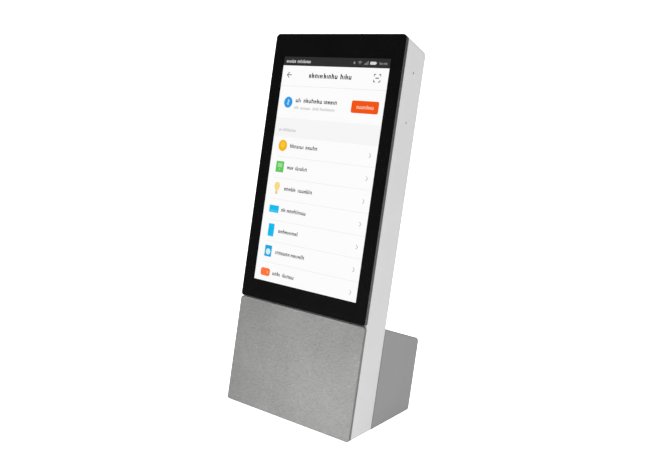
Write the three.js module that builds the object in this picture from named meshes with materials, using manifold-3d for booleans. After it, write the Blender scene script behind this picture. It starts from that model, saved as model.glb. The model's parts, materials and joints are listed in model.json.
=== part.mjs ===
// Smart home hub: a touch display on a leaning slab, with a cloth speaker grille below it
// and a low block behind that keeps it standing.
// Millimetres, +Z up, front towards -Y, origin on the table under the centre of the hub.
import * as THREE from "three";
import { mergeVertices } from "three/addons/utils/BufferGeometryUtils.js";
import Module from "manifold-3d";

const wasm = await Module();
wasm.setup();

// ---- driving dimensions -------------------------------------------------------------
const WIDTH = 110; // across the slab
const LEAN = THREE.MathUtils.degToRad(12.6); // the slab leans back from upright
const FOOT_STAND = 0.6; // the rubber pads lift the shells off the table
const SLAB_HEIGHT = 258.2; // up the front face, from the table line to the top edge
const GRILLE_TOP = 74.1; // up the front face, where the cloth ends
const GLASS_BOTTOM = 74.6;
const COVER_DEPTH = 2.1; // glass and cloth stand this far in front of the housing rim
const GAP = 0.3; // clearance between neighbouring solids
const SLAB_DEPTH = 23.4;
const TOTAL_DEPTH = 65.3; // slab and rear block, square to the front face
const TOP_SLOPE = Math.tan(THREE.MathUtils.degToRad(15.3)); // fall of the slab's top face
const BLOCK_TOP = 72.4; // height of the rear block where it meets the slab
const BLOCK_SLOPE = Math.tan(THREE.MathUtils.degToRad(10.8));
const CORNER = 3.2; // radius of the slab's top corners in the front view
const FOOT_CORNER = 1.8; // and of its bottom corners
const SEAM_CORNER = 2; // and of the covers' corners where glass and cloth meet
const WALL = 2;
const RIM = COVER_DEPTH + GAP; // depth of the housing's open front rim
const HALF = WIDTH / 2;
const WORKS_DEPTH = 0.9; // the works' own zero of depth, behind the front face
const SCREEN = { half: 45.1, low: 87.9, high: 242.5 }; // lit area
const PANEL = {
  half: SCREEN.half + 3.5,
  low: SCREEN.low - 4.7,
  high: SCREEN.high + 3.1,
  front: 1.8,
  back: 5,
};
const SPEAKER = { x: 27, z: 38 }; // centre of each driver, mirrored in x
const MIC = { depth: 12.2, heights: [204.7, 236], radius: 0.8 };
const KEY_X = -38; // column of the power button and volume rocker on the back
const POWER_Z = 236;
const VOLUME_Z = 208;
const SOCKET_Z = 27;
const PAD = { half: 40.7, depth: 12, front: 6, rear: 45, sunk: 0.6 }; // rubber foot pads

// ---- materials ----------------------------------------------------------------------
const paint = (color, roughness, metalness = 0) =>
  new THREE.MeshStandardMaterial({ color, roughness, metalness });
const MATERIAL = {
  whiteShell: paint(0xdcdcdc, 0.45),
  greyShell: paint(0x9b9b9b, 0.5),
  glass: paint(0x131313, 0.08),
  cloth: paint(0xa3a29f, 0.95),
  blackPlastic: paint(0x1c1c1e, 0.6),
  rubber: paint(0x2a2a2a, 0.9),
  steel: paint(0xb4b6b8, 0.35, 1),
  shield: paint(0xc9ccce, 0.3, 1),
  board: paint(0x1f5a3a, 0.55),
  chip: paint(0x202225, 0.5),
  connector: paint(0xe6dfcc, 0.5),
  battery: paint(0x4b5560, 0.4),
  cone: paint(0x26282b, 0.8),
  foam: paint(0x3a3a3c, 1),
  lens: paint(0x0b0d18, 0.05),
  copperFlex: paint(0xb8722c, 0.4),
  cable: paint(0x151515, 0.6),
};

// ---- solids -------------------------------------------------------------------------
const leanMatrix = new THREE.Matrix4().makeRotationX(-LEAN);

// A geometry as a manifold-3d solid: only its positions, with shared vertices merged.
function solid(geometry) {
  const bare = new THREE.BufferGeometry();
  const plain = geometry.index ? geometry.toNonIndexed() : geometry;
  bare.setAttribute("position", plain.getAttribute("position"));
  const merged = mergeVertices(bare, 1e-4);
  return new wasm.Manifold(
    new wasm.Mesh({
      numProp: 3,
      vertProperties: new Float32Array(merged.attributes.position.array),
      triVerts: new Uint32Array(merged.index.array),
    }),
  );
}

function geometryOf(manifold) {
  const mesh = manifold.getMesh();
  const geometry = new THREE.BufferGeometry();
  geometry.setAttribute("position", new THREE.BufferAttribute(mesh.vertProperties, 3));
  geometry.setIndex(new THREE.BufferAttribute(mesh.triVerts, 1));
  return geometry;
}

// Cuts every one of the other geometries out of the first.
function cut(geometry, ...others) {
  let left = solid(geometry);
  for (const other of others) left = left.subtract(solid(other));
  return geometryOf(left);
}

function join(...geometries) {
  let whole = solid(geometries[0]);
  for (const other of geometries.slice(1)) whole = whole.add(solid(other));
  return geometryOf(whole);
}

function box([x0, x1], [y0, y1], [z0, z1]) {
  const geometry = new THREE.BoxGeometry(x1 - x0, y1 - y0, z1 - z0);
  return geometry.translate((x0 + x1) / 2, (y0 + y1) / 2, (z0 + z1) / 2);
}

// Points of a rounded rectangle in the front view, anticlockwise from the bottom right.
// The two bottom corners have the radius low, the two top ones the radius.
function roundedRectangle({ x0, x1, z0, z1, radius, low = radius, steps }) {
  const corners = [
    [x1 - low, z0 + low, low],
    [x1 - radius, z1 - radius, radius],
    [x0 + radius, z1 - radius, radius],
    [x0 + low, z0 + low, low],
  ];
  const points = [];
  corners.forEach(([cx, cz, reach], corner) => {
    for (let step = 0; step <= steps; step++) {
      const angle = ((corner - 1) * Math.PI) / 2 + (step / steps) * (Math.PI / 2);
      points.push([cx + reach * Math.cos(angle), cz + reach * Math.sin(angle)]);
    }
  });
  return points;
}

// Points round a polygon in the side view, its corners given as [y, z, radius].
function roundedPolygon(corners, steps) {
  return corners.flatMap(([y, z, radius], k) => {
    const corner = new THREE.Vector2(y, z);
    const neighbours = [corners.at(k - 1), corners[(k + 1) % corners.length]];
    const ways = neighbours.map((n) => new THREE.Vector2(n[0], n[1]).sub(corner).normalize());
    const half = ways[0].angleTo(ways[1]) / 2;
    const inwards = ways[0].clone().add(ways[1]).normalize();
    const centre = corner.clone().addScaledVector(inwards, radius / Math.sin(half));
    const [from, to] = ways.map((way) =>
      corner.clone().addScaledVector(way, radius / Math.tan(half)).sub(centre).angle(),
    );
    const turn = Math.atan2(Math.sin(to - from), Math.cos(to - from));
    return Array.from({ length: steps + 1 }, (_, step) => {
      const angle = from + (turn * step) / steps;
      return [centre.x + radius * Math.cos(angle), centre.y + radius * Math.sin(angle)];
    });
  });
}

// A closed solid through rounded rectangles, each at its own depth y, front to back.
function loft(sections, steps = 4) {
  return skin(
    sections.map((s) => roundedRectangle({ ...s, steps }).map(([x, z]) => [x, s.y, z])),
  );
}

// A closed solid through rings of points, capped at both ends.
function skin(rings) {
  const count = rings[0].length;
  const position = rings.flat(2);
  const index = [];
  for (let k = 0; k + 1 < rings.length; k++) {
    for (let i = 0; i < count; i++) {
      const j = (i + 1) % count;
      const [a, b] = [k * count + i, k * count + j];
      const [c, d] = [a + count, b + count];
      index.push(a, c, d, a, d, b);
    }
  }
  const back = (rings.length - 1) * count;
  for (let i = 1; i + 1 < count; i++) {
    index.push(0, i, i + 1);
    index.push(back, back + i + 1, back + i);
  }
  const geometry = new THREE.BufferGeometry();
  geometry.setAttribute("position", new THREE.Float32BufferAttribute(position, 3));
  geometry.setIndex(index);
  return geometry;
}

// A slab of one outline between two depths, with its edges eased by a small chamfer.
function plate({ x0, x1, z0, z1, radius }, y0, y1, ease = 0, steps = 4) {
  const outline = (inset) => ({
    x0: x0 + inset,
    x1: x1 - inset,
    z0: z0 + inset,
    z1: z1 - inset,
    radius: radius - inset,
  });
  if (!ease) return loft([{ y: y0, ...outline(0) }, { y: y1, ...outline(0) }], steps);
  return loft(
    [
      { y: y0, ...outline(ease) },
      { y: y0 + ease, ...outline(0) },
      { y: y1, ...outline(0) },
    ],
    steps,
  );
}

// A solid of revolution about the depth axis: the profile is [radius, depth] pairs.
function turned(profile, x, z, segments = 24) {
  const points = profile.map(([radius, depth]) => new THREE.Vector2(radius, depth));
  const area = THREE.ShapeUtils.area(points);
  const geometry = new THREE.LatheGeometry(area > 0 ? points : points.reverse(), segments);
  return geometry.translate(x, 0, z);
}

// A round bar along the depth axis, and one along the upright axis.
const bar = (radius, y0, y1, x, z, segments = 16) =>
  new THREE.CylinderGeometry(radius, radius, y1 - y0, segments).translate(x, (y0 + y1) / 2, z);
const post = (radius, z0, z1, x, y, segments = 16) =>
  new THREE.CylinderGeometry(radius, radius, z1 - z0, segments)
    .rotateX(Math.PI / 2)
    .translate(x, y, (z0 + z1) / 2);

// A round lead along a smooth curve through the given points.
function lead(points, radius, steps) {
  const section = new THREE.Shape();
  section.absarc(0, 0, radius, 0, 2 * Math.PI);
  const curve = new THREE.CatmullRomCurve3(points.map((p) => new THREE.Vector3(...p)));
  return new THREE.ExtrudeGeometry(section, {
    steps,
    curveSegments: 4,
    bevelEnabled: false,
    extrudePath: curve,
  });
}

// ---- the object's tree --------------------------------------------------------------
const hub = new THREE.Group();
const standing = new THREE.Group(); // upright pieces, with z = 0 at the shells' underside
const leaning = new THREE.Group(); // x across, y square to the front face, z up the face
const works = new THREE.Group(); // the display, speakers, boards and keys, inside the slab
const blockBack = TOTAL_DEPTH;
const blockTopAt = (y) => BLOCK_TOP - (y - SLAB_DEPTH) * BLOCK_SLOPE;
const slabTopAt = (y) => SLAB_HEIGHT - y * TOP_SLOPE;
const tableAt = (y) => y * Math.tan(LEAN);

standing.position.z = FOOT_STAND;
leaning.rotation.x = -LEAN;
standing.add(leaning);
works.position.y = WORKS_DEPTH;
leaning.add(works);
hub.add(standing);

function add(name, material, geometry, parent = works) {
  const mesh = new THREE.Mesh(geometry, material);
  mesh.name = name;
  parent.add(mesh);
}

// The recess in an underside that a foot pad is stuck into.
const padGroove = (y0) =>
  box([-PAD.half - GAP, PAD.half + GAP], [y0 - GAP, y0 + PAD.depth + GAP], [-1, PAD.sunk + GAP]);

// A section of the slab at depth y, taken in from the outside by inset, and by side in x.
const slabSection = (y, inset, side = inset) => ({
  y,
  x0: -HALF + side,
  x1: HALF - side,
  z0: tableAt(y) + inset,
  z1: slabTopAt(y) - inset,
  radius: Math.max(CORNER - inset, 0.6),
  low: Math.max(FOOT_CORNER - inset, 0.6),
});

// ---- front covers -------------------------------------------------------------------
function buildCoverGlass() {
  const edge = 0.25;
  const section = (y, inset) => ({
    ...slabSection(y, inset),
    z0: GLASS_BOTTOM + inset,
    low: SEAM_CORNER - inset,
  });
  const glass = loft([section(0, edge), section(edge, 0), section(COVER_DEPTH, 0)], 5);
  add("cover_glass", MATERIAL.glass, glass, leaning);
}

function buildGrille() {
  const cloth = 0.6;
  const edge = 0.4;
  const section = (y, inset) => ({
    ...slabSection(y, inset),
    z1: GRILLE_TOP - inset,
    radius: SEAM_CORNER - inset,
  });
  const outside = loft([section(0, edge), section(edge, 0), section(COVER_DEPTH, 0)], 5);
  const room = loft([section(cloth, cloth), section(COVER_DEPTH + 1, cloth)], 5);
  add("grille_cloth", MATERIAL.cloth, cut(outside, room), leaning);

  const inset = cloth + GAP;
  const plugInset = WALL + GAP;
  const face = loft([section(inset, inset), section(COVER_DEPTH, inset)], 5);
  const plug = plate(
    {
      x0: -HALF + plugInset,
      x1: HALF - plugInset,
      z0: plugInset + 0.6,
      z1: GRILLE_TOP - inset,
      radius: 1,
    },
    COVER_DEPTH - 0.2,
    COVER_DEPTH + 1.4,
  );
  const pitch = 5.2;
  const reachOfHoles = 16.5;
  const holes = [];
  for (const side of [-1, 1]) {
    for (let row = -3; row <= 3; row++) {
      for (let column = -4; column <= 4; column++) {
        const x = (column + (row % 2 ? 0.5 : 0)) * pitch;
        const z = row * pitch * Math.sin(Math.PI / 3);
        if (Math.hypot(x, z) > reachOfHoles) continue;
        holes.push(bar(1.6, 0, 5, side * SPEAKER.x + x, SPEAKER.z + z, 6));
      }
    }
  }
  add("grille_frame", MATERIAL.blackPlastic, cut(join(face, plug), ...holes), leaning);
}

// ---- housing ------------------------------------------------------------------------
function buildHousing() {
  const soften = 1.5;
  const outside = loft([
    slabSection(RIM, 0),
    slabSection(SLAB_DEPTH - soften, 0),
    slabSection(SLAB_DEPTH - 0.45, 0.45, 0.2),
    slabSection(SLAB_DEPTH, soften, 0.6),
  ]);
  const inside = loft([slabSection(0, WALL), slabSection(SLAB_DEPTH - WALL, WALL)]);
  const backWall = [SLAB_DEPTH - WALL - 1, SLAB_DEPTH + 1];
  const window = box([-30, 30], backWall, [22, 54]);
  const micHoles = MIC.heights.map((z) =>
    new THREE.CylinderGeometry(MIC.radius, MIC.radius, 6, 10)
      .rotateZ(Math.PI / 2)
      .translate(HALF, MIC.depth, z),
  );
  const powerHole = bar(4.8, ...backWall, KEY_X, POWER_Z, 24);
  const volumeHole = plate(
    {
      x0: KEY_X - 4.3,
      x1: KEY_X + 4.3,
      z0: VOLUME_Z - 13.3,
      z1: VOLUME_Z + 13.3,
      radius: 4.25,
    },
    ...backWall,
    0,
    6,
  );
  const hollow = cut(outside, inside, window, powerHole, volumeHole, ...micHoles);
  hollow.applyMatrix4(leanMatrix);
  add("slab_housing", MATERIAL.whiteShell, cut(hollow, padGroove(PAD.front)), standing);
}

// ---- rear block ---------------------------------------------------------------------
const BLOCK_HALF = HALF - 0.2;
const BLOCK_WALL = 2.2;
const SCREW_PLACES = [-1, 1].flatMap((side) => [34, 56].map((y) => [side * 48.9, y]));

const BLOCK_EDGE = 1.2; // rounding along the block's side faces
const BLOCK_REAR = { low: 1.8, high: 3 }; // radii of its rear corners in the side view

// The block's outline in the side view, taken in by inset everywhere but at the slab.
function blockOutline(start, inset) {
  const back = blockBack - inset;
  const corners = [
    [start, tableAt(start) + inset, 0.2],
    [start, blockTopAt(start) - inset, 0.2],
    [back, blockTopAt(back) - inset, BLOCK_REAR.high - inset],
    [back, tableAt(back) + inset, BLOCK_REAR.low - inset],
  ];
  return roundedPolygon(corners, 4);
}

function buildBlock() {
  const start = SLAB_DEPTH + GAP;
  const roundings = [[0, 1], [0.29, 0.29], [1, 0]];
  const ends = roundings.map(([x, inset]) => [BLOCK_HALF - x * BLOCK_EDGE, inset * BLOCK_EDGE]);
  const across = [...ends.map(([x, inset]) => [-x, inset]), ...ends.toReversed()];
  const outside = skin(
    across.map(([x, inset]) => blockOutline(start, inset).map(([y, z]) => [x, y, z])),
  );
  const belowTable = 30;
  const room = (y) => ({
    y,
    x0: -BLOCK_HALF + BLOCK_WALL,
    x1: BLOCK_HALF - BLOCK_WALL,
    z0: tableAt(y) - belowTable,
    z1: blockTopAt(y) - BLOCK_WALL,
    radius: 1,
  });
  const inside = loft([room(start - 1), room(blockBack - BLOCK_WALL)]);
  const socketHole = plate(
    { x0: -4.9, x1: 4.9, z0: SOCKET_Z - 2, z1: SOCKET_Z + 2, radius: 1.9 },
    blockBack - BLOCK_WALL - 1,
    blockBack + 1,
  );
  const shell = cut(outside, inside, socketHole).applyMatrix4(leanMatrix);
  const postFoot = 2.3;
  const posts = SCREW_PLACES.map(([x, y]) =>
    post(3.9, postFoot, 20, x + Math.sign(x) * 0.2, y, 12),
  );
  const bores = SCREW_PLACES.map(([x, y]) => post(1.3, postFoot - 1, 12, x, y, 10));
  const sides = box([-BLOCK_HALF + 1, BLOCK_HALF - 1], [0, 90], [0, 60]);
  const trimmed = posts.map((p) => geometryOf(solid(p).intersect(solid(sides))));
  add("rear_block_shell", MATERIAL.greyShell, cut(join(shell, ...trimmed), ...bores), standing);
}

function buildBasePlate() {
  const front = (SLAB_DEPTH + GAP) / Math.cos(LEAN) + 2 * Math.tan(LEAN) + GAP;
  const back = (blockBack - BLOCK_WALL) / Math.cos(LEAN) - GAP;
  const half = BLOCK_HALF - BLOCK_WALL - GAP;
  const thick = 2;
  const holes = SCREW_PLACES.map(([x, y]) => post(1.5, -1, thick + 1, x, y, 12));
  const sinks = SCREW_PLACES.map(([x, y]) => post(3, -1, 1.3, x, y, 16));
  const sheet = box([-half, half], [front, back], [0, thick]);
  const plateSolid = cut(sheet, padGroove(PAD.rear), ...holes, ...sinks);
  add("base_plate", MATERIAL.blackPlastic, plateSolid, standing);

  SCREW_PLACES.forEach(([x, y], k) => {
    const head = post(2.6, 0.2, 1, x, y, 16);
    const shank = post(1, 0.9, 9, x, y, 10);
    const slot = box([x - 1.8, x + 1.8], [y - 0.3, y + 0.3], [0, 0.5]);
    add(`base_screw_${k + 1}`, MATERIAL.steel, cut(join(head, shank), slot), standing);
  });
  add("ballast_weight", MATERIAL.steel, box([-38, 38], [30, 58], [2.4, 8]), standing);
}

function buildFeet() {
  const outline = { x0: -PAD.half, x1: PAD.half, z0: -FOOT_STAND, z1: PAD.sunk, radius: 0.3 };
  const foot = (y0) => plate(outline, y0, y0 + PAD.depth, 0, 2);
  add("front_foot_pad", MATERIAL.rubber, foot(PAD.front), standing);
  add("rear_foot_pad", MATERIAL.rubber, foot(PAD.rear), standing);
}

function buildPowerInlet() {
  const outline = (inset) => ({
    x0: -4.5 + inset,
    x1: 4.5 - inset,
    z0: SOCKET_Z - 1.65 + inset,
    z1: SOCKET_Z + 1.65 - inset,
    radius: 1.6 - inset,
  });
  const mouth = blockBack - 0.5;
  const shell = plate(outline(0), mouth - 7.5, mouth);
  const room = plate(outline(0.3), mouth - 6.5, mouth + 1);
  const tongue = box([-3.3, 3.3], [mouth - 7, mouth - 1.2], [SOCKET_Z - 0.35, SOCKET_Z + 0.35]);
  add("power_socket", MATERIAL.shield, join(cut(shell, room), tongue), leaning);
  const board = box([-12, 12], [mouth - 20, mouth - 3], [SOCKET_Z - 3.2, SOCKET_Z - 2]);
  add("power_board", MATERIAL.board, board, leaning);
}

// ---- speakers -----------------------------------------------------------------------
function buildSpeakers() {
  const baffleRange = { x0: -52.4, x1: 52.4, z0: 4, z1: 72.5, radius: 1.5 };
  const openings = [-1, 1].map((side) => bar(17, 2, 8, side * SPEAKER.x, SPEAKER.z, 24));
  add("speaker_baffle", MATERIAL.blackPlastic, cut(plate(baffleRange, 3.5, 5.5), ...openings));

  for (const [side, word] of [[-1, "left"], [1, "right"]]) {
    const place = [side * SPEAKER.x, SPEAKER.z];
    const basket = [[16.5, 5.8], [16.5, 7.2], [10, 13], [7.4, 13], [7.4, 14],
      [11, 14], [17.8, 7.2], [19.5, 7.2], [19.5, 5.8], [16.5, 5.8]];
    const surround = [[14.3, 6.1], [14.8, 5.3], [15.3, 5], [15.8, 5.3], [16.2, 6.1],
      [16.2, 6.6], [15.9, 6.6], [15.3, 5.6], [14.6, 6.6], [14.3, 6.6], [14.3, 6.1]];
    const cone = [[0, 7.8], [4, 8.4], [5.9, 9.4], [13.9, 6.3], [13.9, 6.8],
      [6.3, 10.2], [6.3, 16.5], [5.9, 16.5], [5.9, 10], [4, 9.1], [0, 8.4]];
    const magnet = [[0, 14.3], [5.6, 14.3], [5.6, 18.6], [6.6, 18.6], [6.6, 14.3],
      [12.5, 14.3], [12.5, 19.9], [0, 19.9]];
    add(`speaker_basket_${word}`, MATERIAL.steel, turned(basket, ...place));
    add(`speaker_surround_${word}`, MATERIAL.rubber, turned(surround, ...place));
    add(`speaker_cone_${word}`, MATERIAL.cone, turned(cone, ...place));
    add(`speaker_magnet_${word}`, MATERIAL.steel, turned(magnet, ...place));
  }
  const foam = box([-52.4, 52.4], [6.2, 20.2], [73.5, 76.8]);
  const leadNotch = box([31, 41], [5, 13], [73, 77]);
  const harnessNotch = box([-45, -35], [12, 21], [73, 77]);
  add("chamber_foam", MATERIAL.foam, cut(foam, leadNotch, harnessNotch));
}

// ---- display ------------------------------------------------------------------------
function buildDisplay() {
  const panel = box([-PANEL.half, PANEL.half], [PANEL.front, PANEL.back], [PANEL.low, PANEL.high]);
  add("display_panel", MATERIAL.blackPlastic, panel);
  const tray = plate({ x0: -52.5, x1: 52.5, z0: 79, z1: 253.5, radius: 1.2 }, 2.1, 6.3);
  const seat = box(
    [-PANEL.half - GAP, PANEL.half + GAP],
    [0, PANEL.back + GAP],
    [PANEL.low - GAP, PANEL.high + GAP],
  );
  const cameraNotch = box([-5, 5], [0, 8], [245, 256]);
  const flexSlot = box([-12.5, 10.5], [0, 8], [172.4, 175.2]);
  const standoffs = BOARD_SCREWS.map(([x, z]) => bar(2.6, 6, 8.7, x, z, 12));
  const bores = BOARD_SCREWS.map(([x, z]) => bar(1.3, 6.5, 9.5, x, z, 10));
  const chassis = cut(join(cut(tray, seat), ...standoffs), cameraNotch, flexSlot, ...bores);
  add("display_chassis", MATERIAL.steel, chassis);

  const strip = new THREE.Shape([
    new THREE.Vector2(5.4, 173.4),
    new THREE.Vector2(13.4, 173.4),
    new THREE.Vector2(13.4, 181.5),
    new THREE.Vector2(13.1, 181.5),
    new THREE.Vector2(13.1, 173.7),
    new THREE.Vector2(5.4, 173.7),
  ]);
  const flex = new THREE.ExtrudeGeometry(strip, { depth: 18, bevelEnabled: false });
  // The shape's x is depth and its y is height, so its extrusion is turned to run along x.
  flex.applyMatrix4(new THREE.Matrix4().set(0, 0, 1, -10, 1, 0, 0, 0, 0, 1, 0, 0, 0, 0, 0, 1));
  add("display_flex", MATERIAL.copperFlex, flex);
}

function buildCamera() {
  const height = 250.3;
  add("camera_module", MATERIAL.chip, box([-4.2, 4.2], [3.1, 7.6], [247, 253.4]));
  add("camera_lens", MATERIAL.lens, bar(2.6, PANEL.front, 2.8, 0, height, 20));
}

// ---- electronics --------------------------------------------------------------------
const BOARD_SCREWS = [[-42, 180], [32, 187], [-42, 240], [32, 240]];

function buildBoard() {
  const top = 10.5; // just clear of the board's rear face
  const sheet = box([-46, 36], [9, 10.2], [176, 244]);
  const holes = BOARD_SCREWS.map(([x, z]) => bar(1.5, 8, 12, x, z, 12));
  add("main_board", MATERIAL.board, cut(sheet, ...holes));
  add("processor_shield", MATERIAL.shield, box([-12, 14], [top, 12.9], [205, 231]));
  add("radio_shield", MATERIAL.shield, box([18, 28], [top, 12.4], [216, 234]));
  add("memory_chip", MATERIAL.chip, box([-28, -16.5], [top, 11.6], [200, 213]));
  add("power_chip", MATERIAL.chip, box([-27, -19], [top, 11.5], [186, 194]));
  add("display_connector", MATERIAL.connector, box([-12, 10], [top, 12.7], [178, 182]));
  add("battery_connector", MATERIAL.connector, box([-30, -22], [top, 13.6], [178, 183]));
  add("speaker_connector", MATERIAL.connector, box([20, 27], [top, 13.6], [178, 183]));
  BOARD_SCREWS.forEach(([x, z], k) => {
    const screw = join(bar(2.2, top, 11.8, x, z, 12), bar(1, 7, top + 0.2, x, z, 10));
    add(`board_screw_${k + 1}`, MATERIAL.steel, screw);
  });
}

function buildBattery() {
  const pack = plate({ x0: -32, x1: 28, z0: 82, z1: 169.5, radius: 1.5 }, 6.9, 12, 0.8, 3);
  add("battery_pack", MATERIAL.battery, pack);
  const route = [[-26, 10, 169.9], [-26, 12.4, 172.6], [-26, 12.6, 177.6]];
  add("battery_lead", MATERIAL.cable, lead(route, 0.8, 8));
}

function buildLeads() {
  const toSpeakers = [[23.5, 12.4, 177.6], [24, 12.4, 174], [35.5, 9.6, 166], [36, 9.4, 140],
    [36, 9.4, 100], [36, 9.4, 78], [35.5, 9.8, 66], [33, 11, 58]];
  add("speaker_lead", MATERIAL.cable, lead(toSpeakers, 1, 26));
  const toSocket = [[-37, 14.8, 190], [-38, 15.6, 176], [-39, 16.4, 150], [-40, 16.6, 110],
    [-40, 16.6, 74], [-34, 17, 64], [-20, 17.6, 59], [-8, 20, 49], [-5, 28, 41], [-4, 46, 27]];
  add("power_harness", MATERIAL.cable, lead(toSocket, 1.4, 34));
}

function buildMicrophones() {
  const wall = HALF - WALL - GAP;
  const [low, high] = MIC.heights;
  const depth = MIC.depth - WORKS_DEPTH;
  const board = box([wall - 2.6, wall - 1.6], [depth - 4, depth + 4], [low - 6, high + 6]);
  add("microphone_board", MATERIAL.board, board);
  MIC.heights.forEach((z, k) => {
    const can = box([wall - 1.3, wall], [depth - 1.5, depth + 1.5], [z - 2, z + 2]);
    const port = new THREE.CylinderGeometry(0.5, 0.5, 1.2, 10)
      .rotateZ(Math.PI / 2)
      .translate(wall, depth, z);
    add(`microphone_${k ? "upper" : "lower"}`, MATERIAL.shield, cut(can, port));
  });
}

function buildAntennas() {
  const depth = [19.6, 20.2];
  add("radio_antenna", MATERIAL.copperFlex, box([8, 44], depth, [240, 248]));
  add("short_range_antenna", MATERIAL.copperFlex, box([-24, 2], depth, [240, 248]));
}

// ---- keys ---------------------------------------------------------------------------
function buildKeys() {
  const board = box([KEY_X - 6, KEY_X + 6], [15, 16], [VOLUME_Z - 13.5, POWER_Z + 6]);
  add("key_board", MATERIAL.board, board);
  const switches = { power: POWER_Z, volume_up: VOLUME_Z + 9, volume_down: VOLUME_Z - 9 };
  for (const [word, z] of Object.entries(switches)) {
    const body = box([KEY_X - 2.3, KEY_X + 2.3], [16.3, 18.3], [z - 2.3, z + 2.3]);
    add(`${word}_switch`, MATERIAL.chip, body);
  }
  const power = [[0, 18.9], [1.2, 18.9], [1.2, 19.3], [5.6, 19.3], [5.6, 20.1],
    [4.5, 20.1], [4.5, 22.7], [4.2, 23], [0, 23]];
  add("power_button", MATERIAL.greyShell, turned(power, KEY_X, POWER_Z));

  const pillSection = (y, half, tall) => ({
    y,
    x0: KEY_X - half,
    x1: KEY_X + half,
    z0: VOLUME_Z - tall,
    z1: VOLUME_Z + tall,
    radius: half - 0.1,
  });
  const cap = loft(
    [pillSection(20, 4, 13), pillSection(22.6, 4, 13), pillSection(23, 3.6, 12.6)],
    6,
  );
  const flange = loft([pillSection(19.3, 5.2, 14.2), pillSection(20.1, 5.2, 14.2)], 6);
  const nubs = [-9, 9].map((dz) => bar(1.2, 18.9, 19.4, KEY_X, VOLUME_Z + dz, 10));
  add("volume_rocker", MATERIAL.greyShell, join(cap, flange, ...nubs));
}

buildCoverGlass();
buildGrille();
buildHousing();
buildBlock();
buildBasePlate();
buildFeet();
buildPowerInlet();
buildSpeakers();
buildDisplay();
buildCamera();
buildBoard();
buildBattery();
buildLeads();
buildMicrophones();
buildAntennas();
buildKeys();

// The origin is under the middle of the whole hub, front to back.
const extent = new THREE.Box3().setFromObject(hub, true);
standing.position.y = -(extent.min.y + extent.max.y) / 2;

export default hub;
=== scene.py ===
"""Visual model of the smart home hub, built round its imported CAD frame. Metres, +Z up."""

import json
import math
import random

import bmesh
import bpy
from mathutils import Matrix, Vector
from mathutils.geometry import delaunay_2d_cdt


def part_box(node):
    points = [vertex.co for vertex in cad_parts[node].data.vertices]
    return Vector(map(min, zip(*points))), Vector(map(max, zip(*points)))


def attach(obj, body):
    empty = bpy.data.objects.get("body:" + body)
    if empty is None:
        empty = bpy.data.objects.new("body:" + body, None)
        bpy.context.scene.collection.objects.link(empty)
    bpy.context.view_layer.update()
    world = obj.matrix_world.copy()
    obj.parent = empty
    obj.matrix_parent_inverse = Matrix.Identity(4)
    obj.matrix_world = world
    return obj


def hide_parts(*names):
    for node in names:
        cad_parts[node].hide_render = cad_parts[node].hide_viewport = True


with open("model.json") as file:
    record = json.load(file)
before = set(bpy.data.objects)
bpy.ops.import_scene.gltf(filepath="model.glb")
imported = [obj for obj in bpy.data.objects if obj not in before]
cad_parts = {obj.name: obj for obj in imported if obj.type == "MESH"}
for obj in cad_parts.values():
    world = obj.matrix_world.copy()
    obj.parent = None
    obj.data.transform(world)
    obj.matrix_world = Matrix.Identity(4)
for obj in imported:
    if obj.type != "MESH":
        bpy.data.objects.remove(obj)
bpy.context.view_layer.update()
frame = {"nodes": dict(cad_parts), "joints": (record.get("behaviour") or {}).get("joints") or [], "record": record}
nodes = frame["nodes"]
joints = {j["name"]: j for j in frame["joints"]}

MM = 0.001
GAP = 0.3 * MM

# ---- the leaning frame: x across, y square to the front face, z up the face ---------------
front = Vector(joints["power_press"]["axis"]).normalized()
LEAN = math.asin(front.z)
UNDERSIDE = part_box("slab_housing")[0].z
face_at = max(v.co @ front for v in nodes["cover_glass"].data.vertices)
face_y = (UNDERSIDE * math.sin(LEAN) - face_at) / math.cos(LEAN)
LEANING = Matrix.Translation((0, face_y, UNDERSIDE)) @ Matrix.Rotation(-LEAN, 4, "X")


def lean_box(node):
    """Lowest and highest corner of a CAD node in the leaning frame."""
    back = LEANING.inverted()
    points = [back @ v.co for v in nodes[node].data.vertices]
    low = Vector([min(p[k] for p in points) for k in range(3)])
    high = Vector([max(p[k] for p in points) for k in range(3)])
    return low, high


glass_low, glass_high = lean_box("cover_glass")
cloth_low, cloth_high = lean_box("grille_cloth")
slab_low, slab_high = lean_box("slab_housing")
block_low, block_high = lean_box("rear_block_shell")
panel_low, panel_high = lean_box("display_panel")

HALF = glass_high.x
TOP = glass_high.z  # top edge of the front face
CORNER = 3.2 * MM  # radius of the slab's top corners
SEAM_CORNER = 2 * MM  # and of the covers' corners where glass and cloth meet
FOOT_CORNER = 1.8 * MM  # and of the bottom corners
COVER_DEPTH = glass_high.y
SLAB_BACK = slab_high.y
TOP_SLOPE = math.tan(math.radians(15.3))
SCREEN_INSET = (3.5 * MM, 4.7 * MM, 3.1 * MM)  # sides, bottom and top of the panel's frame
SCREEN_HALF = panel_high.x - SCREEN_INSET[0]
SCREEN_LOW = panel_low.z + SCREEN_INSET[1]
SCREEN_HIGH = panel_high.z - SCREEN_INSET[2]


def table_at(y):
    return y * math.tan(LEAN)


def slab_top_at(y):
    return TOP - y * TOP_SLOPE


# ---- camera -------------------------------------------------------------------------------
AZIMUTH = math.radians(40.178)
ELEVATION = math.radians(12.751)
CAMERA_PLACE = Vector((372.04, -398.01, 251.7)) * MM  # from the foot of the front face
SENSOR_WIDTH = 36
LENS = 48.48


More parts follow.
